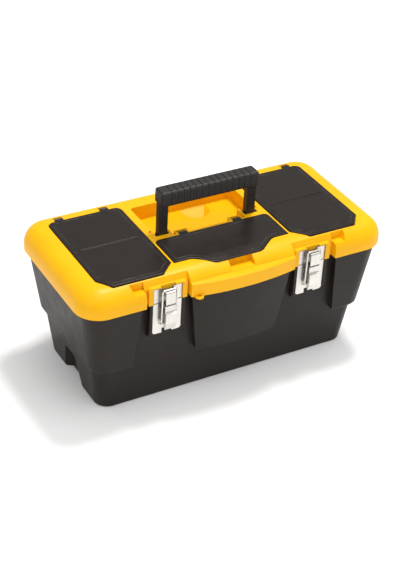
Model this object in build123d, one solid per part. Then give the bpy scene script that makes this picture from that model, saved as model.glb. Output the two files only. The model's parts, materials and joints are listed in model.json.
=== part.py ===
from build123d import *
import os

# A plastic toolbox about 41 cm long: black tub, yellow organiser lid, two draw latches, lift-out tray.
# Millimetres. X runs along the length, Y from front to back, Z up. The origin is on the floor, under the
# middle of the tub. The box stands closed, with its carry handle raised.

# ---------------------------------------------------------------- driving dimensions
LID_HALF_LENGTH = 205.0
LID_HALF_WIDTH = 98.5
LID_CORNER = 31.0
LID_EDGE_ROUND = 23.5
SKIRT_Z = 149.0          # lower edge of the lid
BAND_HEIGHT = 18.0       # height of the bowed band between the latches
DECK_Z = 179.5           # yellow top of the lid
FLAP_Z = 180.8           # black top of the flaps
FLAP_BOTTOM_Z = 177.5    # underside of the flaps, sunk into the deck
FLAP_SEAT_Z = 177.2      # floor of the shallow recess under each flap
WALL = 2.5
GAP = 0.4                # clearance between parts that move past each other

STEP_Z = 62.0            # where the raised upper panels of the tub begin
RIM_Z = 153.0            # upper edge of the tub, hidden in the lid
# each level of the tub: half length, half width, height
FOOT = (173.2, 73.6, 0.0)
WAIST = (181.5, 79.5, STEP_Z)
CORE_RIM = (189.0, 85.8, RIM_Z)
PANEL_STEP = (185.5, 88.2, STEP_Z)
PANEL_RIM = (199.3, 94.9, RIM_Z)
CORE_CORNER = 18.0               # corner radii
PANEL_CORNER = 23.0
MID_PANEL = (54.5, 67.3)         # half width of the middle front panel at the step and at the rim
CORNER_PANEL = (139.0, 130.8)    # inner edge of the corner panels at the step and at the rim
BOW = 7.0                        # how far the middle of the front swells forward

# hand recess in each end: half width at the floor, half width at the top, height of the top
RECESS_MOUTH = (31.5, 14.0, 44.0)
RECESS_BACK = (20.0, 9.0, 33.0)
RECESS_DEPTH = 8.5
RECESS_ROUND = 8.0

HINGE_Y = 102.0          # rear hinge
HINGE_Z = SKIRT_Z
HINGE_X = 112.5
BARREL_R = 4.5
HINGE_PIN_R = 2.0
RUNNING_FIT = 0.06

LATCH_X = 97.4           # middle of each latch
BAY_INNER = 70.0         # the lid's front is set back between these two distances from the middle
BAY_OUTER = 127.5
BAY_Y = -88.8                        # set-back front, and where it ends at the deck
BAY_TOP_Y = -83.0
BAY_SLOPE_Z = 168.0
HOUSING_Z = 170.4                    # top of the housing round a strike plate
HOUSING_HALF = 24.8
HOUSING_Y = -92.8
NOTCH_OUTER = (141.0, 145.0)         # finger notch beside each bay, under the flap's front edge
NOTCH_Y = -84.0
NOTCH_Z = 168.0
BAY_WALL = 2.2
PLATE_HALF = 18.5
PLATE_BACK_Y = -89.8
PLATE_T = 1.4
PIVOT_Y, PIVOT_Z = -95.2, 143.8      # lever pivot
WIRE_Y, WIRE_Z = -95.5, 121.4        # where the wire bail enters the lever
BAR_Y, BAR_Z = -96.3, 166.0          # top bar of the bail
WIRE_R = 1.1
BAIL_HALF = 9.0
LEVER_HALF = 6.75
LATCH_PIN_R = 1.3
PRESSED_DEPTH = 0.7                  # how far the middle of the plate is pressed in
RIVET_R = 1.6
RIVET_HEAD_R = 3.0
RIVET_HEAD_T = 0.8
LATCH_RIVET_Z = (122.5, 133.5)
STRIKE_RIVET_Z = 156.0

FINGER_HOLLOW_R = 8.5                # hollow below each lever
FINGER_HOLLOW_Z = 102.5

SIDE_FLAP = (80.5, 176.0)            # inner and outer edge of a side flap
FLAP_BACK_Y = 70.5
CENTRE_FLAP_HALF = 77.0
CENTRE_FLAP_BACK_Y = -16.2
FLAP_AXIS_Z = 177.3
FLAP_AXIS_BACK = 6.0                 # the flap's hinge bar lies this far behind its rear edge
HINGE_BAR_R = 2.0                    # bar of the lid that the flap's hook goes round
HOOK_R = 3.6
SIDE_HOOKS_X = (100.0, 159.2)        # middles of a side flap's hooks
CENTRE_HOOK_X = 36.9
HOOK_HALF = 5.5
FLAP_ROUND = 1.2
FLAP_SKIN = 2.0
LIP_PLAY = 0.6                       # gap between a flap's lip and its bin
HOOK_BLOCK = 8.5                     # half width of the lid's block round a hook
FLAP_PLAY = 0.7                      # gap between a flap and the edge of its recess

HANDLE_HALF = 66.0
HANDLE_TOP_Z = 238.2
HANDLE_Y, HANDLE_Z = -1.8, 175.5     # fold axis
LEG_WIDTH = 12.0
LEG_DEPTH = 10.4
GRIP_Y = (-12.0, 8.5)                # front and back of the grip
GRIP_HEIGHT = 19.6
RIB_PITCH = 8.2
RING_HALF = 3.3                      # half width and depth of the rings round the grip
RING_DEPTH = 0.8
GRIP_ROUND = 3.5
DIMPLES_Z = (205.0, 209.5, 214.0)    # dimples in the right leg
HANDLE_PIN_R = 2.6
WELL_FRONT, WELL_BACK, WELL_HALF, WELL_FLOOR = -12.6, 62.4, 70.0, 161.0
LEG_SLOT_FRONT = -7.6                # front of the slot that each leg stands in
LEG_SLOT_INNER = 52.0
WELL_RIB = 3.0                       # thickness of the wall between the well and a leg's slot
WELL_RIB_BACK = 7.4

TRAY_Z = 92.4
TRAY_TOP_Z = 142.0
TRAY_WALL = 2.0
TRAY_FOOT = (180.0, 74.0, TRAY_Z)
TRAY_RIM = (186.0, 79.0, TRAY_TOP_Z)
TRAY_CORNER = 14.0
MIDDLE_WALL = 3.0                    # thickness of the wall along the middle
CROSS_WALL = 1.8                     # thickness of the cross walls, and how far they stop below the rim
CROSS_WALL_DROP = 10.0
REAR_WALL_X = 100.0
FRONT_WALL_X = 60.0
GRIP_BAR = (62.0, 7.0)               # half length and half width of the bar over the finger slot
GRIP_BAR_HEIGHT = 9.0
GRIP_SLOT_HALF = 46.0
GRIP_SLOT_HEIGHT = 22.0

SIDES = (-1, 1)


# ---------------------------------------------------------------- small helpers
def slab(x0, x1, y0, y1, z0, z1):
    """A box between two corners."""
    return Pos((x0 + x1) / 2, (y0 + y1) / 2, (z0 + z1) / 2) * Box(abs(x1 - x0), abs(y1 - y0), abs(z1 - z0))


def rod(x0, x1, y, z, radius):
    """A cylinder along X."""
    return Pos((x0 + x1) / 2, y, z) * Rot(0, 90, 0) * Cylinder(radius, abs(x1 - x0))


def taper(low, high, corner, inset=0.0):
    """A tapered block between two levels, with rounded upright corners, drawn in by inset."""
    (x0, y0, z0), (x1, y1, z1) = low, high
    long_way = xz_prism(
        [(-x0 + inset, z0), (x0 - inset, z0), (x1 - inset, z1), (-x1 + inset, z1)], -y1, y1
    )
    short_way = yz_prism(
        [(-y0 + inset, z0), (y0 - inset, z0), (y1 - inset, z1), (-y1 + inset, z1)], -x1, x1
    )
    block = long_way & short_way
    upright = block.edges().filter_by(lambda edge: abs(edge.tangent_at(0.5).Z) > 0.5)
    return fillet(upright, corner - inset)


def at_height(low, high, z):
    """The level between two others at height z, on the straight line between them."""
    t = (z - low[2]) / (high[2] - low[2])
    return tuple(a + (b - a) * t for a, b in zip(low, high))


def xz_prism(points, y0, y1):
    """A polygon in X and Z, pushed along Y."""
    face = make_face(Polyline(*[(x, y0, z) for x, z in points], close=True))
    return extrude(face, amount=y1 - y0, dir=(0, 1, 0))


def yz_prism(points, x0, x1):
    """A polygon in Y and Z, pushed along X."""
    face = make_face(Polyline(*[(x0, y, z) for y, z in points], close=True))
    return extrude(face, amount=x1 - x0, dir=(1, 0, 0))


def bow_face(half, y, swell, z, extra=0.0):
    """A flat sheet behind an arc that stands swell in front of its chord, drawn extra wider each way."""
    wide = half + extra
    end_y = y + swell * ((wide / half) ** 2 - 1)
    arc = ThreePointArc((-wide, end_y, z), (0, y - swell, z), (wide, end_y, z))
    back = Polyline((wide, end_y, z), (wide, y + 12, z), (-wide, y + 12, z), (-wide, end_y, z))
    return make_face(Curve() + [arc, back])


def mirrored(shape):
    """The same shape on the other side of the middle."""
    return mirror(shape, about=Plane.YZ)


def write(name, shape):
    """One STEP file, named after its node."""
    shape.label = name
    export_step(shape, f"parts/{name}.step")


# ---------------------------------------------------------------- tub
def front_bays(grow=0.0):
    """The two set-back bays in the front of the tub, from the step upwards."""
    z0, z1 = STEP_Z - 1 - grow, RIM_Z + 5
    bays = []
    for side in SIDES:
        slope = (MID_PANEL[1] - MID_PANEL[0]) / (RIM_Z - STEP_Z)
        corner_slope = (CORNER_PANEL[1] - CORNER_PANEL[0]) / (RIM_Z - STEP_Z)
        corners = [
            (side * (MID_PANEL[0] + slope * (z0 - STEP_Z) - grow), z0),
            (side * (CORNER_PANEL[0] + corner_slope * (z0 - STEP_Z) + grow), z0),
            (side * (CORNER_PANEL[1] + corner_slope * (z1 - RIM_Z) + grow), z1),
            (side * (MID_PANEL[1] + slope * (z1 - RIM_Z) - grow), z1),
        ]
        bays.append(xz_prism(corners, -125, -60))
    return bays


def raised_panels(inset=0.0):
    """The raised upper panels with their bowed middle, before they join the tub's core."""
    low = at_height(PANEL_STEP, PANEL_RIM, STEP_Z + inset)
    panels = taper(low, PANEL_RIM, PANEL_CORNER, inset)
    panels += loft(
        [
            bow_face(MID_PANEL[0], -(low[1] - inset), BOW - 1.5, low[2], extra=6.0),
            bow_face(MID_PANEL[1], -(PANEL_RIM[1] - inset), BOW, RIM_Z, extra=6.0),
        ],
        ruled=True,
    )
    for bay in front_bays(grow=inset):
        panels -= bay
    return panels


def recess_outline(half_widths, grow, x):
    """One outline of the left hand recess: a trapezoid with rounded shoulders, open at the floor."""
    low, high, top = half_widths
    below = 2.0
    corners = [(x, -low - grow, -below), (x, -high - grow, top + grow),
               (x, high + grow, top + grow), (x, low + grow, -below)]
    face = make_face(Polyline(*corners, close=True))
    return fillet(face.vertices().group_by(Axis.Z)[-1], RECESS_ROUND + grow)


def hand_recess(grow=0.0):
    """The recess in the left end, drafted from a wide mouth to a narrow back."""
    mouth_x = -WAIST[0]
    back_x = -FOOT[0] + RECESS_DEPTH + grow
    return loft([recess_outline(RECESS_MOUTH, grow, mouth_x), recess_outline(RECESS_BACK, grow, back_x)],
                ruled=True)


def make_base_tub():
    lower = taper(FOOT, WAIST, CORE_CORNER)
    lower = fillet(lower.faces().sort_by(Axis.Z)[0].edges(), 3.0)
    panels = raised_panels()
    panels = fillet(panels.faces().sort_by(Axis.Z)[0].outer_wire().edges(), 3.5)
    tub = taper(WAIST, CORE_RIM, CORE_CORNER) + panels
    tub += lower
    for side in SIDES:
        tub += latch_boss(side)
        tub += base_knuckle(side)
    tub += padlock_tab(145.4, 147.6, -94.0)

    # shelf at each end that carries the tray
    shelf = yz_prism([(-45, TRAY_Z - GAP), (45, TRAY_Z - GAP), (40, 80), (-40, 80)], -190.0, -177.0)
    recess, recess_wall = hand_recess(), hand_recess(grow=WALL)
    hollows = [
        taper(at_height(FOOT, WAIST, WALL), WAIST, CORE_CORNER, WALL),
        taper(WAIST, CORE_RIM, CORE_CORNER, WALL),
        raised_panels(inset=WALL),
    ]
    for cut in (recess, mirrored(recess)):
        tub -= cut
    for side in SIDES:
        for z in LATCH_RIVET_Z:
            tub -= rivet_hole(side * LATCH_X, z)
    for hollow in hollows:
        for keep in (shelf, mirrored(shelf), recess_wall, mirrored(recess_wall)):
            hollow -= keep
        tub -= hollow
    return tub


def latch_boss(side):
    """The block that a latch plate lies on, with a finger hollow under the lever."""
    x = side * LATCH_X
    profile = [(-75, 147.0), (PLATE_BACK_Y, 147.0), (PLATE_BACK_Y, 104.5), (-85.0, 99.0), (-75.0, 99.0)]
    boss = yz_prism(profile, x - 21.5, x + 21.5)
    cheek = [(-75, 147.0), (-92.0, 147.0), (-92.0, 110.0), (-87.0, 102.0), (-75.0, 102.0)]
    for edge in (-1, 1):
        inner, outer = x + edge * (PLATE_HALF + 0.3), x + edge * 22.5
        boss += yz_prism(cheek, min(inner, outer), max(inner, outer))
    hollow = Pos(x, PLATE_BACK_Y, FINGER_HOLLOW_Z) * Rot(90, 0, 0) * Cylinder(FINGER_HOLLOW_R, 9.0)
    return boss - hollow


def knuckle_span(side):
    """Ends of the tub's knuckle, from left to right."""
    return sorted((side * (HINGE_X - 7.5), side * (HINGE_X + 7.5)))


def base_knuckle(side):
    x0, x1 = knuckle_span(side)
    knuckle = rod(x0, x1, HINGE_Y, HINGE_Z, BARREL_R)
    knuckle += yz_prism(
        [(93, 134), (HINGE_Y, 144.6), (HINGE_Y, HINGE_Z - GAP), (93, HINGE_Z - GAP)], x0, x1
    )
    return knuckle - rod(x0 - 1, x1 + 1, HINGE_Y, HINGE_Z, HINGE_PIN_R)


def padlock_tab(z0, z1, root_y):
    """A half-round ear with a hole, left of the middle of the front, from the wall at root_y."""
    x, y, radius = -61.0, -100.4, 5.5
    ear = slab(x - radius, x + radius, y, root_y, z0, z1)
    ear += Pos(x, y, (z0 + z1) / 2) * Cylinder(radius, z1 - z0)
    ear &= slab(x - 10, x + 10, y - 10, root_y, z0, z1)
    return ear - Pos(x, y - 0.8, (z0 + z1) / 2) * Cylinder(2.0, 10)


# ---------------------------------------------------------------- lid
def lid_block(inset, z0, z1):
    """The rounded block of the lid, drawn in by inset."""
    outline = RectangleRounded(
        2 * (LID_HALF_LENGTH - inset), 2 * (LID_HALF_WIDTH - inset), LID_CORNER - inset
    )
    block = extrude(Pos(0, 0, z0) * outline, amount=z1 - z0)
    return fillet(block.faces().sort_by(Axis.Z)[-1].edges(), LID_EDGE_ROUND - inset)


def lid_bays(grow=0.0):
    """The cuts that set the lid's front back at each latch, and the finger notches beside them."""
    wall = [(-130, 140), (BAY_Y + grow, 140), (BAY_Y + grow, BAY_SLOPE_Z - grow),
            (BAY_TOP_Y + grow, DECK_Z + 1), (-130, DECK_Z + 1)]
    low, high = NOTCH_OUTER
    notch_end = [(0, NOTCH_Z - grow), (low + grow, NOTCH_Z - grow), (high + grow, DECK_Z + 1),
                 (0, DECK_Z + 1)]
    bay = yz_prism(wall, BAY_INNER - grow, BAY_OUTER + grow)
    notch = xz_prism(notch_end, -130, NOTCH_Y + grow) & slab(BAY_OUTER - 1, 160, -130, 0, 140, 190)
    return [cut for right in (bay, notch) for cut in (right, mirrored(right))]


SIDE_BIN = (-172.0, -86.0, -71.0, 65.0)      # inside of the left bin: x0, x1, y0, y1
CENTRE_BIN = (-72.0, 72.0, -61.0, -24.0)
BIN_FLOOR = 147.6
BIN_WALL = 2.0
SCOOP_CENTRE = (16.3, 52.5)                  # finger scoop in the well's floor
SCOOP_R = 17.5
SCOOP_FALL = 0.42                            # its floor falls towards the front
SCOOP_RAMP = 0.75                            # and rises steeply to the right


def bin_inside(x0, x1, y0, y1, z0, grow=0.0):
    inside = slab(x0 - grow, x1 + grow, y0 - grow, y1 + grow, z0 - grow, DECK_Z + 10)
    return fillet(inside.edges().filter_by(Axis.Z), 5.0 + grow)


def well_inside(grow=0.0):
    """The room for the folded handle: the well, its deeper scoop and the slots for the two legs."""
    floor, top = WELL_FLOOR - grow, DECK_Z + 10
    well = slab(-WELL_HALF - grow, WELL_HALF + grow, WELL_RIB_BACK - grow, WELL_BACK + grow, floor, top)
    well = fillet(well.edges().filter_by(Axis.Z).group_by(Axis.Y)[-1], 4.0 + grow)
    middle = LEG_SLOT_INNER - WELL_RIB + grow
    well += slab(-middle, middle, WELL_FRONT - grow, WELL_BACK / 2, floor, top)
    leg_slot = slab(LEG_SLOT_INNER - grow, WELL_HALF + grow, LEG_SLOT_FRONT - grow, WELL_BACK / 2, floor, top)
    return well + leg_slot + mirrored(leg_slot) + well_scoop(grow)


def well_scoop(grow):
    """A pocket below the well's floor that lets a finger under the folded grip."""
    x, y = SCOOP_CENTRE
    radius, back, above, below = SCOOP_R + grow, WELL_BACK + grow - 1, WELL_FLOOR + 1, 140
    outline = Pos(x, y, (above + below) / 2) * Cylinder(radius, above - below)
    outline += slab(x - radius, x + radius, y, back, below, above)
    front, right = y - SCOOP_R - grow, x + SCOOP_R + grow
    floor = [(back, WELL_FLOOR - grow), (front, WELL_FLOOR - grow - SCOOP_FALL * (back - front)),
             (front, above), (back, above)]
    run = (WELL_FLOOR - below) / SCOOP_RAMP
    ramp = [(right, WELL_FLOOR - grow), (right - run, below - grow), (x - radius, below - grow),
            (x - radius, above), (right, above)]
    return outline & yz_prism(floor, x - radius, x + radius) & xz_prism(ramp, front, back)


def flap_hooks():
    """Middle of each flap hook: x, and y of its bar."""
    back = FLAP_BACK_Y + FLAP_AXIS_BACK
    centre = CENTRE_FLAP_BACK_Y + FLAP_AXIS_BACK
    side = [(s * x, back) for s in SIDES for x in SIDE_HOOKS_X]
    return side + [(s * CENTRE_HOOK_X, centre) for s in SIDES]


def make_lid_shell():
    lid = lid_block(0.0, SKIRT_Z, DECK_Z)
    for bay in lid_bays():
        lid -= bay
    band = extrude(bow_face(BAY_INNER, -LID_HALF_WIDTH, BOW, SKIRT_Z), amount=BAND_HEIGHT)
    front_edge = band.edges().group_by(Axis.Z)[-1].sort_by(Axis.Y)[0]
    lid += chamfer(front_edge, 1.6, 2.4)

    hollow = lid_block(WALL, SKIRT_Z - 5, FLAP_SEAT_Z - WALL)
    for bay in lid_bays(grow=BAY_WALL):
        hollow -= bay
    inner_band = bow_face(BAY_INNER - BAY_WALL, -(LID_HALF_WIDTH - WALL), BOW, SKIRT_Z - 1)
    hollow += extrude(inner_band, amount=BAND_HEIGHT - WALL)
    lid -= hollow

    # seat that rests on the tub's rim
    seat = extrude(Pos(0, 0, RIM_Z + GAP) * RectangleRounded(404, 191, 28), amount=2.0)
    seat -= extrude(Pos(0, 0, RIM_Z) * RectangleRounded(374, 162, 20), amount=5.0)
    for bay in lid_bays(grow=1.0):
        seat -= bay
    lid += seat

    # bins, handle well and hinge blocks hang from the deck
    left_bin = bin_inside(*SIDE_BIN, BIN_FLOOR)
    bins = [left_bin, mirrored(left_bin), bin_inside(*CENTRE_BIN, BIN_FLOOR)]
    left_case = bin_inside(*SIDE_BIN, BIN_FLOOR, grow=BIN_WALL)
    cases = [left_case, mirrored(left_case), bin_inside(*CENTRE_BIN, BIN_FLOOR, grow=BIN_WALL)]
    cases.append(well_inside(grow=BIN_WALL))
    cases += [hook_block(x, y) for x, y in flap_hooks()]
    pivot_block = slab(WELL_HALF, WELL_HALF + 5, HANDLE_Y - 6, HANDLE_Y + 10, HANDLE_Z - 6, DECK_Z + 1)
    cases += [pivot_block, mirrored(pivot_block)]
    cases.append(slab(-18, 18, -97, -80, 166, DECK_Z + 1))
    envelope = lid_block(1.0, 140, DECK_Z)
    for case in cases:
        lid += case & envelope
    well = well_inside()
    for x, y in flap_hooks():
        well -= hook_block(x, y)
    for inside in bins + [well]:
        lid -= inside
    for outline in (side_flap_outline(), mirrored(side_flap_outline()), centre_flap_outline()):
        lid -= extrude(Pos(0, 0, FLAP_SEAT_Z) * offset(outline, amount=FLAP_PLAY), amount=10)

    lid -= slab(-16, 16, -110, -82, 168.2, DECK_Z + 5)
    for x, y in flap_hooks():
        lid -= hook_pocket(x, y)
        lid += rod(x - HOOK_HALF - 1, x + HOOK_HALF + 1, y, FLAP_AXIS_Z, HINGE_BAR_R)
    notch = slab(WELL_HALF - 1, WELL_HALF + 3.6, 1.4, 6.2, DECK_Z - 3, DECK_Z + 5)
    pivot = rod(LEG_SLOT_INNER - 2.4, WELL_HALF + 3.4, HANDLE_Y, HANDLE_Z, HANDLE_PIN_R + RUNNING_FIT)
    for cut in (notch, pivot):
        lid = lid - cut - mirrored(cut)
    for side in SIDES:
        lid += strike_housing(side)
        lid += lid_knuckles(side)
        k0, k1 = knuckle_span(side)
        lid -= rod(k0 - GAP, k1 + GAP, HINGE_Y, HINGE_Z, BARREL_R + 0.5)
        lid -= rivet_hole(side * LATCH_X, STRIKE_RIVET_Z)
    lid += padlock_tab(148.2, 150.6, -98.6)
    return lid


def hook_block(x, y):
    """The solid part of the lid round one hook."""
    low = FLAP_AXIS_Z - HOOK_R - 2.2
    return slab(x - HOOK_BLOCK, x + HOOK_BLOCK, y - 7, y + HOOK_R + 1.5, low, DECK_Z + 1)


def hook_pocket(x, y):
    """Room for a hook and its arm to turn in, open at the top."""
    room = HOOK_R + 0.35
    wide = HOOK_HALF + GAP
    pocket = rod(x - wide, x + wide, y, FLAP_AXIS_Z, room)
    pocket += slab(x - wide, x + wide, y - FLAP_AXIS_BACK - 1, y, FLAP_AXIS_Z - room, DECK_Z + 5)
    return pocket + slab(x - wide, x + wide, y - 1, y + room, FLAP_AXIS_Z, DECK_Z + 5)


def strike_housing(side):
    """Two raised frames round a strike plate, with a gap between them for the bail."""
    x = side * LATCH_X
    frame = slab(x - HOUSING_HALF, x + HOUSING_HALF, HOUSING_Y, BAY_Y + 1.0, SKIRT_Z - 1.5, HOUSING_Z)
    frame = fillet(frame.edges().filter_by(Axis.Y).group_by(Axis.Z)[-1], 3.0)
    frame -= slab(x - 30, x + 30, PLATE_BACK_Y, -70, 140, SKIRT_Z)
    frame -= slab(x - PLATE_HALF - 0.1, x + PLATE_HALF + 0.1, -100, PLATE_BACK_Y, 140, HOUSING_Z - 1.8)
    gap = [(x - 7.5, 160), (x + 7.5, 160), (x + 10.5, 175), (x - 10.5, 175)]
    return frame - xz_prism(gap, -100, PLATE_BACK_Y)


def lid_knuckles(side):
    """The two barrels either side of the tub's knuckle, with their webs."""
    k0, k1 = knuckle_span(side)
    parts = []
    for x0, x1 in ((k0 - GAP - 16, k0 - GAP), (k1 + GAP, k1 + GAP + 16)):
        barrel = rod(x0, x1, HINGE_Y, HINGE_Z, BARREL_R)
        barrel += yz_prism(
            [(97, HINGE_Z), (HINGE_Y, HINGE_Z), (HINGE_Y, HINGE_Z + BARREL_R), (97, HINGE_Z + 9)], x0, x1
        )
        parts.append(barrel - rod(x0 - 1, x1 + 1, HINGE_Y, HINGE_Z, HINGE_PIN_R + RUNNING_FIT))
    return parts


def make_hinge_pin(side):
    x = side * HINGE_X
    pin = rod(x - 24.5, x + 24.5, HINGE_Y, HINGE_Z, HINGE_PIN_R)
    return chamfer(pin.edges(), 0.4)


# ---------------------------------------------------------------- flaps
def above_flap(depth, crease_y=None, slope=0.0):
    """All the space above a flap's top surface lowered by depth; in front of the crease it slopes down."""
    z, reach, run = FLAP_Z - depth, 250, 40.0
    if crease_y is None:
        return slab(-reach, reach, -reach, reach, z, z + run)
    profile = [(reach, z), (crease_y, z), (crease_y - run, z - slope * run), (crease_y - run, z + run),
               (reach, z + run)]
    face = make_face(Polyline(*[(-reach, y, height) for y, height in profile], close=True))
    crease = face.vertices().sort_by_distance((-reach, crease_y, z))[0]
    return extrude(fillet(crease, 30.0), amount=2 * reach, dir=(1, 0, 0))


def flap_body(outline, inner_lip, crease_y=None, slope=0.0):
    """A shallow lid: rimmed plate, raised skin and the lip that drops into its bin."""
    thick = FLAP_Z - FLAP_BOTTOM_Z
    plate = extrude(Pos(0, 0, FLAP_BOTTOM_Z) * outline, amount=thick)
    plate -= above_flap(0.0, crease_y, slope)
    rim = plate.edges().filter_by(lambda edge: edge.bounding_box().min.Z > FLAP_BOTTOM_Z + 0.8)
    plate = fillet(rim.filter_by(lambda edge: not is_crease(edge, crease_y)), FLAP_ROUND)
    shallow = offset(outline, amount=-2.6, kind=Kind.INTERSECTION)
    cavity = extrude(Pos(0, 0, FLAP_BOTTOM_Z - 1) * shallow, amount=thick + 1)
    plate -= cavity - above_flap(FLAP_SKIN, crease_y, slope)
    groove = offset(outline, amount=-4.6, kind=Kind.INTERSECTION)
    panel = offset(outline, amount=-5.8, kind=Kind.INTERSECTION)
    groove = extrude(Pos(0, 0, FLAP_Z - 5) * (groove - panel), amount=8)
    plate -= groove & above_flap(0.7, crease_y, slope)
    x0, x1, y0, y1 = inner_lip
    lip = slab(x0, x1, y0, y1, FLAP_BOTTOM_Z - 3.0, FLAP_Z - 1.8)
    lip = fillet(lip.edges().filter_by(Axis.Z), 4.4)
    core = slab(x0 + 1.6, x1 - 1.6, y0 + 1.6, y1 - 1.6, FLAP_BOTTOM_Z - 5, FLAP_Z - 2.0)
    core = fillet(core.edges().filter_by(Axis.Z), 2.8)
    return plate + (lip - core)


def is_crease(edge, crease_y):
    """True for the two lines, straight across the flap, where the blend at its crease begins and ends."""
    if crease_y is None:
        return False
    return edge.length > 20 and abs(edge.tangent_at(0.5).X) > 0.999 and abs(edge.center().Y - crease_y) < 2


def flap_hook(x, y):
    """A hook that goes under the lid's bar, on an arm from the flap's rear edge."""
    x0, x1, top = x - HOOK_HALF, x + HOOK_HALF, FLAP_Z - 0.6
    hook = rod(x0, x1, y, FLAP_AXIS_Z, HOOK_R) - slab(x0, x1, y - 1.4, y + 5, FLAP_AXIS_Z + 0.3, top + 5)
    front = y - FLAP_AXIS_BACK - 0.6
    hook += slab(x0, x1, front, y - 1.4, FLAP_AXIS_Z - 1.6, top)
    return hook - rod(x0, x1, y, FLAP_AXIS_Z, HINGE_BAR_R + RUNNING_FIT)


def side_flap_outline():
    """Outline of the left flap."""
    inner, outer = SIDE_FLAP
    corners = [(-outer, FLAP_BACK_Y), (-outer, -64.5), (-163, -82), (-99, -82), (-inner, -64.5),
               (-inner, FLAP_BACK_Y)]
    outline = make_face(Polyline(*corners, close=True))
    outline = fillet(outline.vertices().group_by(Axis.Y)[-1], 8.0)
    return fillet(outline.vertices().group_by(Axis.Y)[0] + outline.vertices().group_by(Axis.Y)[1], 3.0)


def centre_flap_outline():
    """Outline of the front flap, with the wave of its front edge."""
    half, back = CENTRE_FLAP_HALF, CENTRE_FLAP_BACK_Y
    corners = [(-half, back), (-half, -67), (-54, -67), (-31, -84.5), (31, -84.5), (54, -67), (half, -67),
               (half, back)]
    outline = make_face(Polyline(*corners, close=True))
    wave = [v for v in outline.vertices() if abs(v.X) < 60]
    outline = fillet(wave, 16.0)
    return fillet(outline.vertices().group_by(Axis.Y)[-1], 6.0)


def make_side_flap():
    """The left flap; the right one is its mirror image."""
    x0, x1, y0, y1 = SIDE_BIN
    lip = (x0 + LIP_PLAY, x1 - LIP_PLAY, y0 + LIP_PLAY, y1 - LIP_PLAY)
    flap = flap_body(side_flap_outline(), lip)
    ridge = Pos(-128.2, -0.5, FLAP_Z) * Box(75, 3.4, 2.4)
    flap += fillet(ridge.edges().group_by(Axis.Z)[-1], 0.9)
    for x, y in flap_hooks():
        if x < -SIDE_FLAP[0]:
            flap += flap_hook(x, y)
    return flap


def make_centre_flap():
    x0, x1, y0, y1 = CENTRE_BIN
    lip = (x0 + LIP_PLAY, x1 - LIP_PLAY, y0 + LIP_PLAY, y1 - LIP_PLAY)
    flap = flap_body(centre_flap_outline(), lip, crease_y=-69.5, slope=0.1)
    for x, y in flap_hooks():
        if abs(x) < CENTRE_FLAP_HALF:
            flap += flap_hook(x, y)
    return flap


# ---------------------------------------------------------------- carry handle
def grip_slice(x0, x1, shrink):
    """A length of the grip with rounded edges."""
    front, back = GRIP_Y
    outline = RectangleRounded(back - front - 2 * shrink, GRIP_HEIGHT - 2 * shrink, GRIP_ROUND)
    return Pos(x0, (front + back) / 2, HANDLE_TOP_Z - GRIP_HEIGHT / 2) * extrude(
        Plane.YZ * outline, amount=x1 - x0
    )


def make_handle():
    grip_low = HANDLE_TOP_Z - GRIP_HEIGHT
    half_depth = LEG_DEPTH / 2
    inner = HANDLE_HALF - LEG_WIDTH
    leg = slab(inner, HANDLE_HALF, HANDLE_Y - half_depth, HANDLE_Y + half_depth, HANDLE_Z, grip_low + 8)
    leg = fillet(leg.edges().filter_by(Axis.Z), 2.0)
    leg += rod(inner, HANDLE_HALF, HANDLE_Y, HANDLE_Z, half_depth)
    leg += rod(inner - 3.6, HANDLE_HALF + 6.2, HANDLE_Y, HANDLE_Z, HANDLE_PIN_R)
    end = grip_slice(inner, HANDLE_HALF, 0.0)
    end = fillet(end.faces().sort_by(Axis.X)[-1].edges(), GRIP_ROUND - 0.3)
    handle = grip_slice(-inner - 1, inner + 1, RING_DEPTH)
    for piece in (leg, end):
        handle += piece
        handle += mirrored(piece)
    front = GRIP_Y[0]
    for step in range(-6, 7):
        x = step * RIB_PITCH
        ring = grip_slice(x - RING_HALF, x + RING_HALF, 0.0)
        handle += ring - slab(x - 0.7, x + 0.7, front - 1, front + 0.45, grip_low + 3, HANDLE_TOP_Z - 3)
    for z in DIMPLES_Z:
        dimple = Rot(90, 0, 0) * Cylinder(1.2, 1.2)
        handle -= Pos(HANDLE_HALF - LEG_WIDTH / 2, HANDLE_Y - half_depth, z) * dimple
    return handle


# ---------------------------------------------------------------- latches
def make_latch_plate(side):
    """The plate on the tub: flat wings, a pressed middle and two ears for the lever's pin."""
    x = side * LATCH_X
    front = PLATE_BACK_Y - PLATE_T
    plate = slab(x - PLATE_HALF, x + PLATE_HALF, front, PLATE_BACK_Y, 105.0, 147.0)
    plate = fillet(plate.edges().filter_by(Axis.Y).group_by(Axis.Z)[0], 4.0)
    pressed = slab(x - 11.5, x + 11.5, front - 1, front + PRESSED_DEPTH, 117.0, 150.0)
    plate -= fillet(pressed.edges().filter_by(Axis.Y).group_by(Axis.Z)[0], 5.0)
    plate -= slab(x - 6.5, x + 6.5, -100, -80, 100, 111.5)
    for edge in (-1, 1):
        e0, e1 = sorted((x + edge * 4.9, x + edge * 6.1))
        ear = yz_prism([(PLATE_BACK_Y, 139.5), (PIVOT_Y, PIVOT_Z - 2.3), (PIVOT_Y, PIVOT_Z + 2.3),
                        (PLATE_BACK_Y, 147.0)], e0, e1)
        plate += ear + rod(e0, e1, PIVOT_Y, PIVOT_Z, 2.3)
    for z in LATCH_RIVET_Z:
        plate -= rivet_hole(x, z)
    return plate - rod(x - 10, x + 10, PIVOT_Y, PIVOT_Z, LATCH_PIN_R)


def make_latch_pin(side):
    x = side * LATCH_X
    pin = rod(x - 6.1, x + 6.1, PIVOT_Y, PIVOT_Z, LATCH_PIN_R)
    for edge in (-1, 1):
        h0, h1 = sorted((x + edge * 6.1, x + edge * 6.9))
        pin += rod(h0, h1, PIVOT_Y, PIVOT_Z, 1.9)
    return pin


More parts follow.
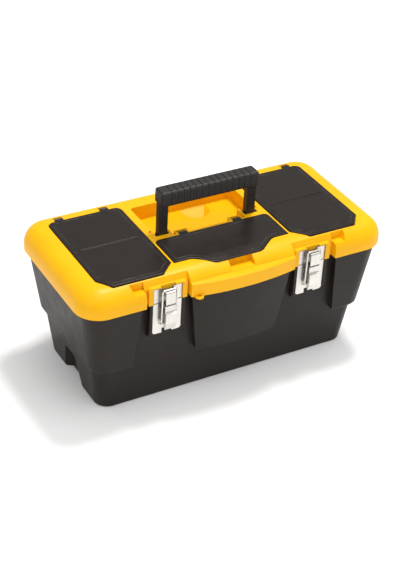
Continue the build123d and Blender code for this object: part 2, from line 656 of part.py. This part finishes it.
def make_latch_lever(side):
    """A pressed channel: kinked front, two flanges for the wire, and a rolled eye on the pin."""
    x = side * LATCH_X
    t = 1.3
    front = [(-99.2, 145.6), (-99.2, 136.9), (-101.8, 135.9), (-101.8, 122.5), (-99.6, 114.0)]
    back = [(y + t, z) for y, z in reversed(front)]
    lever = yz_prism(front + back, x - LEVER_HALF, x + LEVER_HALF)
    flange = [(-98.4, 136.6), (-93.4, 136.6), (-93.4, 119.6), (-98.9, 114.3), (-101.2, 122.5),
              (-101.2, 135.5)]
    for edge in (-1, 1):
        f0, f1 = sorted((x + edge * (LEVER_HALF - t), x + edge * LEVER_HALF))
        lever += yz_prism(flange, f0, f1)
    lever += rod(x - 4.6, x + 4.6, PIVOT_Y, PIVOT_Z, 2.9)
    lever += slab(x - 4.6, x + 4.6, -98.6, PIVOT_Y, PIVOT_Z - 2.0, PIVOT_Z + 1.6)
    lever -= rod(x - 10, x + 10, PIVOT_Y, PIVOT_Z, LATCH_PIN_R + RUNNING_FIT)
    return lever - rod(x - 10, x + 10, WIRE_Y, WIRE_Z, WIRE_R + 0.08)


def make_latch_bail(side):
    """One bent wire: two inturned ends, two sides and the bar that hooks over the strike."""
    x = side * LATCH_X
    path = FilletPolyline(
        (x - 5.2, WIRE_Y, WIRE_Z), (x - BAIL_HALF, WIRE_Y, WIRE_Z), (x - BAIL_HALF, BAR_Y, BAR_Z),
        (x + BAIL_HALF, BAR_Y, BAR_Z), (x + BAIL_HALF, WIRE_Y, WIRE_Z), (x + 5.2, WIRE_Y, WIRE_Z),
        radius=1.8,
    )
    return sweep(Plane(path @ 0, z_dir=path % 0) * Circle(WIRE_R), path=path)


def make_strike_plate(side):
    """The plate on the lid, with a folded tongue that the bail's bar lies over."""
    x = side * LATCH_X
    front = PLATE_BACK_Y - PLATE_T
    plate = slab(x - PLATE_HALF, x + PLATE_HALF, front, PLATE_BACK_Y, 147.9, 167.0)
    plate -= slab(x - 6.5, x + 6.5, -100, -80, 164.5, 170)
    t, top, low = 1.2, 164.5, 147.9
    tongue = slab(x - 6.2, x + 6.2, -99.6, PLATE_BACK_Y, low, top)
    tongue = fillet(tongue.edges().filter_by(Axis.X).group_by(Axis.Z)[-1].sort_by(Axis.Y)[0], 2.2)
    hollow = slab(x - 7, x + 7, -99.6 + t, front + 0.2, low - 1, top - t)
    hollow = fillet(hollow.edges().filter_by(Axis.X).group_by(Axis.Z)[-1].sort_by(Axis.Y)[0], 1.0)
    return plate + (tongue - hollow) - rivet_hole(x, STRIKE_RIVET_Z)


def rivet(x, z, seat_y, length):
    """A blind rivet along Y: low dome in front of seat_y, shank behind it."""
    head = Pos(x, seat_y - RIVET_HEAD_T / 2, z) * Rot(90, 0, 0) * Cylinder(RIVET_HEAD_R, RIVET_HEAD_T)
    head = fillet(head.faces().sort_by(Axis.Y)[0].edges(), 0.6)
    return head + Pos(x, seat_y + length / 2, z) * Rot(90, 0, 0) * Cylinder(RIVET_R, length)


def rivet_hole(x, z):
    """The hole a rivet goes through."""
    return Pos(x, PLATE_BACK_Y, z) * Rot(90, 0, 0) * Cylinder(RIVET_R + RUNNING_FIT, 8.0)


def make_latch_rivets():
    seat_y = PLATE_BACK_Y - PLATE_T + PRESSED_DEPTH
    return Compound([rivet(side * LATCH_X, z, seat_y, 4.4) for side in SIDES for z in LATCH_RIVET_Z])


def make_strike_rivets():
    seat_y = PLATE_BACK_Y - PLATE_T
    return Compound([rivet(side * LATCH_X, STRIKE_RIVET_Z, seat_y, 4.6) for side in SIDES])


# ---------------------------------------------------------------- tray
def make_tray():
    """An open tray with two cross walls on each side of its middle wall, and a finger slot through that."""
    tray = taper(TRAY_FOOT, TRAY_RIM, TRAY_CORNER)
    tray -= taper(at_height(TRAY_FOOT, TRAY_RIM, TRAY_Z + TRAY_WALL), TRAY_RIM, TRAY_CORNER, TRAY_WALL)
    inner = taper(TRAY_FOOT, TRAY_RIM, TRAY_CORNER, 0.5)
    long_reach, short_reach = TRAY_RIM[0], TRAY_RIM[1]
    half_wall, half_middle = CROSS_WALL / 2, MIDDLE_WALL / 2
    cross_top = TRAY_TOP_Z - CROSS_WALL_DROP
    walls = [slab(-long_reach, long_reach, -half_middle, half_middle, TRAY_Z, TRAY_TOP_Z)]
    for side in SIDES:
        rear, front = side * REAR_WALL_X, side * FRONT_WALL_X
        walls.append(slab(rear - half_wall, rear + half_wall, 0, short_reach, TRAY_Z, cross_top))
        walls.append(slab(front - half_wall, front + half_wall, -short_reach, 0, TRAY_Z, cross_top))
    bar_low = TRAY_TOP_Z - GRIP_BAR_HEIGHT
    walls.append(slab(-GRIP_BAR[0], GRIP_BAR[0], -GRIP_BAR[1], GRIP_BAR[1], bar_low, TRAY_TOP_Z))
    for wall in walls:
        tray += wall & inner
    slot = slab(-GRIP_SLOT_HALF, GRIP_SLOT_HALF, -20, 20, bar_low - GRIP_SLOT_HEIGHT, bar_low)
    return tray - fillet(slot.edges().filter_by(Axis.Y), 6.0)


# ---------------------------------------------------------------- write every piece
os.makedirs("parts", exist_ok=True)
write("base_tub", make_base_tub())
write("lid_shell", make_lid_shell())
write("tray", make_tray())
left_flap = make_side_flap()
write("flap_left", left_flap)
write("flap_right", mirrored(left_flap))
write("flap_center", make_centre_flap())
write("carry_handle", make_handle())
write("latch_rivets", make_latch_rivets())
write("strike_rivets", make_strike_rivets())
for side, word in ((-1, "left"), (1, "right")):
    write(f"hinge_pin_{word}", make_hinge_pin(side))
    write(f"latch_plate_{word}", make_latch_plate(side))
    write(f"latch_pin_{word}", make_latch_pin(side))
    write(f"latch_lever_{word}", make_latch_lever(side))
    write(f"latch_bail_{word}", make_latch_bail(side))
    write(f"strike_plate_{word}", make_strike_plate(side))
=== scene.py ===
import json
import math

import bpy
from mathutils import Matrix, Vector

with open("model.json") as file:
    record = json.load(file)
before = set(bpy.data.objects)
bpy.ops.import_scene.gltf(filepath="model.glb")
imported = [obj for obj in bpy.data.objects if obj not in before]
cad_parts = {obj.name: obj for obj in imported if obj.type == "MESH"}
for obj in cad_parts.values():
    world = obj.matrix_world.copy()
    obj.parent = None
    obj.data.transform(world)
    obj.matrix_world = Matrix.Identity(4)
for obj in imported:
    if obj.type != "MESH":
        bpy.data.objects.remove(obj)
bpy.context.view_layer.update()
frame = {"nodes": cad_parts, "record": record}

# ---------------------------------------------------------------- camera and light
CAMERA_EYE = Vector((-0.7526, -1.2699, 1.0802))
CAMERA_AZIMUTH = math.radians(-30.6)
CAMERA_ELEVATION = math.radians(33.97)
CAMERA_ROLL = math.radians(3.29)
CAMERA_LENS_MM = 90.43

FLOOR_SIZE = 14.0
FLOOR_COLOUR = (0.97, 0.97, 0.97)
FLOOR_GLOW = 0.08
WORLD_COLOUR = (1.0, 1.0, 1.0)
WORLD_STRENGTH = 0.44

# name: place, size in metres, watts, colour; each looks at the middle of the box
LIGHTS = {
    "overhead": ((0.1, -0.5, 2.4), 2.6, 30.0, (1.0, 1.0, 1.0)),
    "key": ((0.62, 0.36, 2.6), 0.5, 42.0, (1.0, 0.98, 0.95)),
    "left_fill": ((-2.6, -0.9, 1.0), 1.6, 9.0, (1.0, 0.99, 0.98)),
    "front_fill": ((0.6, -3.0, 1.2), 2.0, 5.0, (0.98, 0.99, 1.0)),
}
AIM = Vector((0.0, 0.0, 0.10))
CAMERA_FAR = 50.0

# ---------------------------------------------------------------- colours, linear
TUB_BLACK = (0.0165, 0.0128, 0.0106)
FLAP_BLACK = (0.0150, 0.0112, 0.0088)
GRIP_BLACK = (0.0215, 0.0195, 0.0180)
TRAY_BLACK = (0.0280, 0.0255, 0.0235)
LID_YELLOW = (0.930, 0.465, 0.001)
NICKEL = (0.70, 0.675, 0.635)
WIRE_NICKEL = (0.76, 0.74, 0.71)
PIN_STEEL = (0.55, 0.54, 0.53)
RIVET_ALUMINIUM = (0.72, 0.72, 0.72)

# ---------------------------------------------------------------- surface detail, metres
PLASTIC_IOR = 1.49
RUBBED_AND_HIGHLIGHT_RADIUS = 0.0011       # width of the rubbed band along a plastic edge, which also carries a painted highlight
PLASTIC_ROUNDING = 0.0006
METAL_ROUNDING = 0.0003
WORN_RADIUS = 0.0004         # width of the worn band along a metal edge
PAINTED_SHADE_REACH = 0.006        # how near another surface must be for the plate to get painted shade
X_AXIS, Y_AXIS, Z_AXIS = 0, 1, 2
BRUSH_STRETCH = 14.0         # how much finer the drawn lines are across than along


# ---------------------------------------------------------------- node helpers
class Surface:
    """A procedural material being built: its node tree and its one Principled shader."""

    def __init__(self, name, **sockets):
        self.material = bpy.data.materials.new(name)
        self.material.use_nodes = True
        self.tree = self.material.node_tree
        self.shader = self.tree.nodes["Principled BSDF"]
        for socket, value in sockets.items():
            self.shader.inputs[socket.replace("_", " ")].default_value = value
        self.coordinates = self.node("ShaderNodeTexCoord").outputs["Object"]

    def node(self, kind, inputs=None, **settings):
        """A new node; an input's value is either another node's output or a constant."""
        made = self.tree.nodes.new(kind)
        for name, value in settings.items():
            setattr(made, name, value)
        for key, value in (inputs or {}).items():
            socket = made.inputs[key]
            if isinstance(value, bpy.types.NodeSocket):
                self.tree.links.new(value, socket)
            else:
                socket.default_value = value
        return made

    def noise(self, scale, detail=2.0, roughness=0.5, stretch=(1, 1, 1), distortion=0.0):
        """Fractal noise from 0 to 1, its grain drawn out along the axes whose stretch is small."""
        place = self.node("ShaderNodeMapping", {"Vector": self.coordinates, "Scale": stretch})
        inputs = {
            "Vector": place.outputs["Vector"],
            "Scale": scale,
            "Detail": detail,
            "Roughness": roughness,
            "Distortion": distortion,
        }
        return self.node("ShaderNodeTexNoise", inputs).outputs["Fac"]

    def remap(self, value, low, high, to_low=0.0, to_high=1.0):
        """value from low..high to to_low..to_high, kept inside them."""
        inputs = {"Value": value, 1: low, 2: high, 3: to_low, 4: to_high}
        return self.node("ShaderNodeMapRange", inputs, clamp=True).outputs["Result"]

    def math(self, operation, first, second=0.0):
        return self.node("ShaderNodeMath", {0: first, 1: second}, operation=operation).outputs["Value"]

    def mix(self, factor, first, second):
        """A colour between two others."""
        inputs = {0: factor, 6: first, 7: second}
        return self.node("ShaderNodeMix", inputs, data_type="RGBA").outputs[2]

    def bump(self, height, distance, normal=None, strength=1.0):
        inputs = {"Height": height, "Distance": distance, "Strength": strength}
        if normal is not None:
            inputs["Normal"] = normal
        return self.node("ShaderNodeBump", inputs).outputs["Normal"]

    def soft_edges(self, radius):
        """The normal of the surface as if its sharp edges were rounded."""
        return self.node("ShaderNodeBevel", {"Radius": radius}, samples=6).outputs["Normal"]

    def edge_mask(self, radius):
        """1 on sharp edges, 0 on open faces."""
        rounded = self.soft_edges(radius)
        flat = self.node("ShaderNodeNewGeometry").outputs["Normal"]
        same = self.node("ShaderNodeVectorMath", {0: rounded, 1: flat}, operation="DOT_PRODUCT")
        return self.remap(same.outputs["Value"], 0.995, 0.86)

    def finish(self, colour=None, roughness=None, normal=None):
        for socket, value in (("Base Color", colour), ("Roughness", roughness), ("Normal", normal)):
            if value is not None:
                self.tree.links.new(value, self.shader.inputs[socket])
        return self.material


def shade(colour, factor):
    """The colour made lighter or darker, opaque."""
    return tuple(min(1.0, channel * factor) for channel in colour) + (1.0,)


# ---------------------------------------------------------------- materials
def moulded_plastic(name, colour, roughness, grain, rubbed_and_highlight_tint, specular):
    """Injection-moulded plastic: slow drifts of tone and gloss, fine spark texture, scuffs, edges lightened
    partly as rubbed wear and partly as a painted highlight.
    """
    surface = Surface(name, Specular_IOR_Level=specular, IOR=PLASTIC_IOR)
    drift = surface.noise(9.0, detail=3.0)
    cloud = surface.noise(55.0, detail=4.0, roughness=0.6)
    grain_noise = surface.noise(2600.0, detail=2.0, roughness=0.6)
    scuff = surface.remap(surface.noise(60.0, 5.0, 0.7, stretch=(1, 9, 9), distortion=0.6), 0.66, 0.80)
    tone = surface.mix(surface.remap(drift, 0.35, 0.65), shade(colour, 0.93), shade(colour, 1.05))
    tone = surface.mix(surface.remap(cloud, 0.3, 0.7, 0.0, 0.35), tone, shade(colour, 1.12))
    patchy = surface.remap(cloud, 0.35, 0.6, 0.25, 1.0)
    rubbed_and_highlight = surface.math("MULTIPLY", surface.edge_mask(RUBBED_AND_HIGHLIGHT_RADIUS), patchy)
    # painted highlight: edges are lightened partly as rubbed wear, partly to stand in for light catching the
    # rounded edges
    tone = surface.mix(surface.math("MULTIPLY", rubbed_and_highlight, 0.8), tone, rubbed_and_highlight_tint + (1.0,))
    gloss = surface.remap(cloud, 0.3, 0.7, roughness - 0.05, roughness + 0.05)
    gloss = surface.math("ADD", gloss, surface.math("MULTIPLY", scuff, 0.10))
    gloss = surface.math("SUBTRACT", gloss, surface.math("MULTIPLY", rubbed_and_highlight, 0.08))
    normal = surface.soft_edges(PLASTIC_ROUNDING)
    normal = surface.bump(surface.noise(30.0, detail=1.0), 0.00035, normal)
    normal = surface.bump(grain_noise, grain, normal)
    return surface.finish(tone, gloss, normal)


def plated_steel(name, colour, roughness, brush_axis):
    """Bright plate over pressed sheet: fine drawn lines, soft waviness, painted shade in crevices, worn
    edges.
    """
    surface = Surface(name, Metallic=1.0)
    along = [BRUSH_STRETCH] * 3
    along[brush_axis] = 1.0
    lines = surface.noise(420.0, detail=3.0, roughness=0.65, stretch=along)
    cloud = surface.noise(60.0, detail=3.0, roughness=0.6)
    tone = surface.mix(surface.remap(cloud, 0.35, 0.75), shade(colour, 1.0), shade(colour, 0.92))
    # painted shade: the plate is darkened where other surfaces are near, as shade falls in crevices and gaps
    painted_crevice_shade = surface.node("ShaderNodeAmbientOcclusion", {"Distance": PAINTED_SHADE_REACH}, samples=8).outputs["AO"]
    tone = surface.mix(surface.remap(painted_crevice_shade, 0.30, 0.85, 1.0, 0.0), tone, shade(colour, 0.14))
    worn = surface.edge_mask(WORN_RADIUS)
    tone = surface.mix(surface.math("MULTIPLY", worn, 0.5), tone, shade(colour, 1.15))
    gloss = surface.remap(cloud, 0.3, 0.75, roughness, roughness + 0.06)
    gloss = surface.math("ADD", gloss, surface.remap(lines, 0.4, 0.8, 0.0, 0.05))
    normal = surface.soft_edges(METAL_ROUNDING)
    normal = surface.bump(surface.noise(110.0, detail=1.0), 0.00006, normal)
    normal = surface.bump(lines, 0.000006, normal)
    return surface.finish(tone, gloss, normal)


# slot: colour, roughness, depth of the grain in metres, colour of rubbed edges (wear plus a painted
# highlight), specular level
PLASTICS = {
    "tub_plastic": (TUB_BLACK, 0.46, 0.000030, (0.040, 0.035, 0.031), 0.22),
    "lid_plastic": (LID_YELLOW, 0.38, 0.000014, (0.98, 0.56, 0.004), 0.22),
    # the flaps' light edge colour is mostly a painted highlight on their lips
    "flap_plastic": (FLAP_BLACK, 0.33, 0.000018, (0.130, 0.115, 0.105), 0.30),
    "handle_plastic": (GRIP_BLACK, 0.50, 0.000034, (0.045, 0.042, 0.039), 0.35),
    "tray_plastic": (TRAY_BLACK, 0.48, 0.000030, (0.055, 0.051, 0.048), 0.35),
}
# slot: colour, roughness, axis that the drawn lines follow
METALS = {
    "plated_steel": (NICKEL, 0.32, Z_AXIS),
    "wire_steel": (WIRE_NICKEL, 0.26, Z_AXIS),
    "pin_steel": (PIN_STEEL, 0.28, X_AXIS),
    "rivet_metal": (RIVET_ALUMINIUM, 0.34, Y_AXIS),
}
MATERIALS = {name: moulded_plastic(name, *look) for name, look in PLASTICS.items()}
MATERIALS.update({name: plated_steel(name, *look) for name, look in METALS.items()})


def dress_nodes():
    """Every CAD node gets the material of its slot in the record."""
    for entry in frame["record"]["subparts"]:
        node = frame["nodes"][entry["node"]]
        node.data.materials.clear()
        node.data.materials.append(MATERIALS[entry["material_slot"]])


# ---------------------------------------------------------------- stage
def make_floor():
    half = FLOOR_SIZE / 2
    mesh = bpy.data.meshes.new("floor")
    corners = [(-half, -half, 0), (half, -half, 0), (half, half, 0), (-half, half, 0)]
    mesh.from_pydata(corners, [], [(0, 1, 2, 3)])
    floor = bpy.data.objects.new("floor", mesh)
    bpy.context.scene.collection.objects.link(floor)
    surface = Surface("floor", Roughness=0.85)
    surface.shader.inputs["Base Color"].default_value = FLOOR_COLOUR + (1.0,)
    surface.shader.inputs["Emission Color"].default_value = FLOOR_COLOUR + (1.0,)
    surface.shader.inputs["Emission Strength"].default_value = FLOOR_GLOW
    mesh.materials.append(surface.material)


def make_world():
    world = bpy.data.worlds.new("studio")
    world.use_nodes = True
    background = world.node_tree.nodes["Background"]
    background.inputs["Color"].default_value = WORLD_COLOUR + (1.0,)
    background.inputs["Strength"].default_value = WORLD_STRENGTH
    bpy.context.scene.world = world


def make_lights():
    for name, (place, size, watts, colour) in LIGHTS.items():
        light = bpy.data.lights.new(name, "AREA")
        light.shape = "DISK"
        light.size = size
        light.energy = watts
        light.color = colour
        holder = bpy.data.objects.new(name, light)
        holder.location = place
        holder.rotation_euler = (AIM - Vector(place)).to_track_quat("-Z", "Y").to_euler()
        bpy.context.scene.collection.objects.link(holder)


def make_camera():
    back = Vector((
        math.sin(CAMERA_AZIMUTH) * math.cos(CAMERA_ELEVATION),
        -math.cos(CAMERA_AZIMUTH) * math.cos(CAMERA_ELEVATION),
        math.sin(CAMERA_ELEVATION),
    ))
    level_right = Vector((math.cos(CAMERA_AZIMUTH), math.sin(CAMERA_AZIMUTH), 0.0))
    level_up = back.cross(level_right)
    right = math.cos(CAMERA_ROLL) * level_right + math.sin(CAMERA_ROLL) * level_up
    up = math.cos(CAMERA_ROLL) * level_up - math.sin(CAMERA_ROLL) * level_right
    camera = bpy.data.objects.new("camera", bpy.data.cameras.new("camera"))
    camera.data.lens = CAMERA_LENS_MM
    camera.data.clip_end = CAMERA_FAR
    camera.matrix_world = Matrix.Translation(CAMERA_EYE) @ Matrix((right, up, back)).transposed().to_4x4()
    bpy.context.scene.collection.objects.link(camera)
    bpy.context.scene.camera = camera


make_camera()
dress_nodes()
make_floor()
make_world()
make_lights()
bpy.context.scene.view_settings.view_transform = "Standard"
